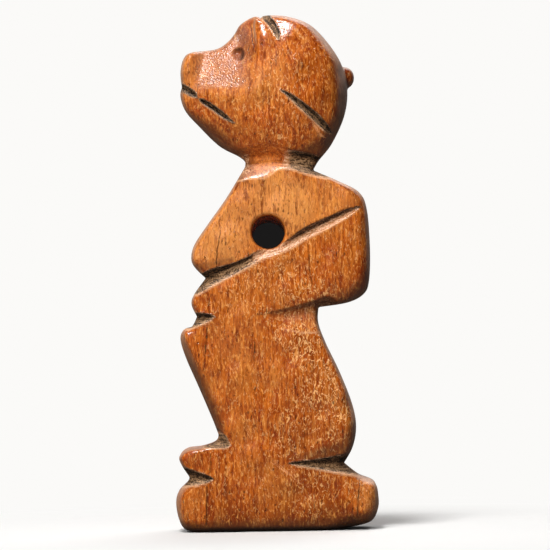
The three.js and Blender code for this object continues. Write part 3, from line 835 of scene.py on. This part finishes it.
# Cracks and scratches: thin lines that waver a little and break off here and there
line_share = {}
waver = add(tree, "ShaderNodeMath", {0: grain["patch"], 1: 0.2, 2: -0.1}, operation="MULTIPLY_ADD")
for line, code in {"crack": "#401A08", "scratch": "#F0A468"}.items():
    off = add(tree, "ShaderNodeMath", {0: kept[line + "_across"], 1: waver}, operation="ADD")
    off = add(tree, "ShaderNodeMath", {0: off}, operation="ABSOLUTE")
    half_width = add(tree, "ShaderNodeMath", {0: kept[line + "_width"], 1: 0.001}, operation="MAXIMUM")
    off = add(tree, "ShaderNodeMath", {0: off, 1: half_width}, operation="DIVIDE")
    near_line = add(tree, "ShaderNodeMapRange", {"Value": off, "From Min": 2.2, "From Max": 0.4, "To Max": 0.9})
    broken = {"Value": grain["thread"], "From Min": 0.4, "From Max": 0.56, "To Min": 0.2}
    shown = add(tree, "ShaderNodeMapRange", broken, interpolation_type="SMOOTHSTEP")
    there = add(tree, "ShaderNodeMapRange", {"Value": kept[line + "_width"], "From Min": 0.004, "From Max": 0.02})
    line_share[line] = add(tree, "ShaderNodeMath", {0: near_line, 1: there}, operation="MULTIPLY")
    line_share[line] = add(tree, "ShaderNodeMath", {0: line_share[line], 1: shown}, operation="MULTIPLY")
    tones = {"Factor": line_share[line], "A": colour, "B": srgb(code)}
    colour = add(tree, "ShaderNodeMix", tones, data_type="RGBA")

# Relief in millimetres: fibres and flecks a few hundredths, pores and cracks about a tenth
rough_dirt = add(tree, "ShaderNodeMath", {0: crumbs, 1: kept["dirt"]}, operation="MULTIPLY")
scuffs = add(tree, "ShaderNodeMath", {0: grain["speckle"], 1: kept["scuff_and_sheen"]}, operation="MULTIPLY")
RELIEF = [
    [grain["fibre"], 0.025], [grain["thread"], 0.012], [grain["mottle"], 0.05], [grain["speckle"], 0.004],
    [fleck, 0.02], [pore, -0.04], [line_share["crack"], -0.05], [line_share["scratch"], -0.02],
    [rough_dirt, 0.14], [scuffs, 0.08],
]
relief = 0.0
for pattern, height in RELIEF:
    relief = add(tree, "ShaderNodeMath", {0: pattern, 1: height, 2: relief}, operation="MULTIPLY_ADD")
bump = add(tree, "ShaderNodeBump", {"Height": relief, "Distance": MM, "Strength": 1.0})

# Smooth where hands rubbed it, duller in the dirt, on the narrow sides and where the muzzle is scuffed
gloss = {"Value": grain["mottle"], "From Min": 0.3, "From Max": 0.7, "To Min": 0.18, "To Max": 0.3}
roughness = add(tree, "ShaderNodeMapRange", gloss)
DULLER = [[kept["hollow"], 0.3], [soil_share, 0.25], [kept["side"], 0.3], [kept["edge_shade"], 0.15], [kept["scuff_and_sheen"], 0.04]]
for pattern, duller in DULLER:
    roughness = add(tree, "ShaderNodeMath", {0: pattern, 1: duller, 2: roughness}, operation="MULTIPLY_ADD")
body = {"Base Color": colour, "Roughness": roughness, "IOR": 1.54, "Normal": bump}
shader = add(tree, "ShaderNodeBsdfPrincipled", body)
add(tree, "ShaderNodeOutputMaterial", {"Surface": shader})

amulet = bpy.data.objects.new("carved_amulet", amulet_mesh)
scene.collection.objects.link(amulet)
amulet_mesh.materials.append(polished_bone)
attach(amulet, "root")
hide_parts("monkey_amulet")


# Behind the string hole: a small dark card that glows faintly, a painted shadow standing in for the shaded ground seen
# through the hole. The card stands just clear of the far mouth.

card_mesh = bpy.data.meshes.new("painted_shadow_card")
CARD_RADIUS = 2.2
CARD_GAP = 0.15
card_turns = np.linspace(0, 2 * np.pi, 32, endpoint=False)
card_x = HOLE["far"][0] + CARD_RADIUS * np.cos(card_turns)
card_z = HOLE["far"][1] + CARD_RADIUS * np.sin(card_turns)
card_y = np.full(32, BAR_HALF + CARD_GAP)
card_mesh.from_pydata((np.stack([card_x, card_y, card_z], axis=1) * MM).tolist(), [], [list(range(32))])
card = bpy.data.objects.new("painted_shadow_card", card_mesh)
scene.collection.objects.link(card)
painted_shadow_paint = bpy.data.materials.new("painted_shadow_paint")
painted_shadow_paint.use_nodes = True
tree = painted_shadow_paint.node_tree
tree.nodes.clear()
# A faint near-black glow: the painted shadow that fills the hole
shadow_glow = add(tree, "ShaderNodeEmission", {"Color": srgb("#1B1A1A"), "Strength": 1.0})
clear = add(tree, "ShaderNodeBsdfTransparent")
behind = add(tree, "ShaderNodeNewGeometry", output="Backfacing")
add(tree, "ShaderNodeOutputMaterial", {"Surface": add(tree, "ShaderNodeMixShader", {0: behind, 1: shadow_glow, 2: clear})})
card_mesh.materials.append(painted_shadow_paint)


# The table: a plain pale matt sheet that the amulet stands on, with no edge in sight.

table_mesh = bpy.data.meshes.new("table")
FAR_OFF = 3.0
corners_out = [(-FAR_OFF, -FAR_OFF, 0), (FAR_OFF, -FAR_OFF, 0), (FAR_OFF, FAR_OFF, 0), (-FAR_OFF, FAR_OFF, 0)]
table_mesh.from_pydata(corners_out, [], [(0, 1, 2, 3)])
table = bpy.data.objects.new("table", table_mesh)
scene.collection.objects.link(table)
pale_sheet = bpy.data.materials.new("pale_sheet")
pale_sheet.use_nodes = True
tree = pale_sheet.node_tree
tree.nodes.clear()
BACKGROUND = srgb("#FBFAF8")
table_place = add(tree, "ShaderNodeTexCoord", output="Object")
table_out = add(tree, "ShaderNodeVectorMath", {0: table_place}, "Value", operation="LENGTH")
fade_out = {"Value": table_out, "From Min": 0.014, "From Max": 0.05}
fade = add(tree, "ShaderNodeMapRange", fade_out, interpolation_type="SMOOTHSTEP")
matt = add(tree, "ShaderNodeBsdfDiffuse", {"Color": srgb("#E4E3E1")})
dim = add(tree, "ShaderNodeBsdfDiffuse", {"Color": srgb("#6A6865")})
glow = add(tree, "ShaderNodeEmission", {"Color": BACKGROUND, "Strength": 1.0})
seen = add(tree, "ShaderNodeLightPath", output="Is Camera Ray")
pale = add(tree, "ShaderNodeMixShader", {0: fade, 1: matt, 2: glow})
sheet = add(tree, "ShaderNodeMixShader", {0: seen, 1: dim, 2: pale})
add(tree, "ShaderNodeOutputMaterial", {"Surface": sheet})
table_mesh.materials.append(pale_sheet)


# The light: a compact soft box high in front, a broad cross-polarised fill that gives no gloss, a
# weak box behind, and a bright room beyond the amulet that its worn edges catch.


def soft_box(name, place, size, watts, gives_gloss=True, lights_up=True):
    """A square soft light that faces the middle of the amulet."""
    light = bpy.data.lights.new(name, "AREA")
    light.size = size
    light.energy = watts
    lamp = bpy.data.objects.new(name, light)
    lamp.location = place
    lamp.rotation_euler = (Vector((0, 0, 0.028)) - Vector(place)).to_track_quat("-Z", "Y").to_euler()
    lamp.visible_glossy = gives_gloss
    lamp.visible_diffuse = lights_up
    scene.collection.objects.link(lamp)


soft_box("key", (-0.05, -0.13, 0.33), 0.06, 0.75)
soft_box("sparkle", (-0.05, -0.13, 0.33), 0.05, 1.0, lights_up=False)
soft_box("fill", (-0.12, -0.28, 0.16), 0.2, 1.05, gives_gloss=False)
soft_box("back", (0.08, 0.22, 0.26), 0.2, 0.5)

world = bpy.data.worlds.new("room")
scene.world = world
world.use_nodes = True
tree = world.node_tree
tree.nodes.clear()
direction = add(tree, "ShaderNodeTexCoord", output="Generated")
beyond_it = add(tree, "ShaderNodeSeparateXYZ", {0: direction}, "Y")
brightness = {"Value": beyond_it, "From Min": 0.3, "From Max": 0.95, "To Min": 0.03, "To Max": 0.75}
strength = add(tree, "ShaderNodeMapRange", brightness, interpolation_type="SMOOTHSTEP")
room = add(tree, "ShaderNodeBackground", {"Color": srgb("#F4F5F7"), "Strength": strength})
plain = add(tree, "ShaderNodeBackground", {"Color": BACKGROUND, "Strength": 1.0})
seen = add(tree, "ShaderNodeLightPath", output="Is Camera Ray")
add(tree, "ShaderNodeOutputWorld", {"Surface": add(tree, "ShaderNodeMixShader", {0: seen, 1: room, 2: plain})})
scene.view_settings.view_transform = "Standard"


# The camera: square on to the near broad face, turned by the degree that the photograph is.

PHOTO_WIDTH_MM = 53.64
LENS = 300.0
SENSOR = 36.0
VIEW_CENTRE = (0.135, 24.8)
camera_data = bpy.data.cameras.new("camera")
camera_data.lens = LENS
camera_data.sensor_width = SENSOR
camera_data.clip_end = 20.0
camera = bpy.data.objects.new("camera", camera_data)
distance = PHOTO_WIDTH_MM * LENS / SENSOR
camera.location = (VIEW_CENTRE[0] * MM, -distance * MM, VIEW_CENTRE[1] * MM)
camera.rotation_euler = (radians(90), radians(1), 0)
scene.collection.objects.link(camera)
scene.camera = camera
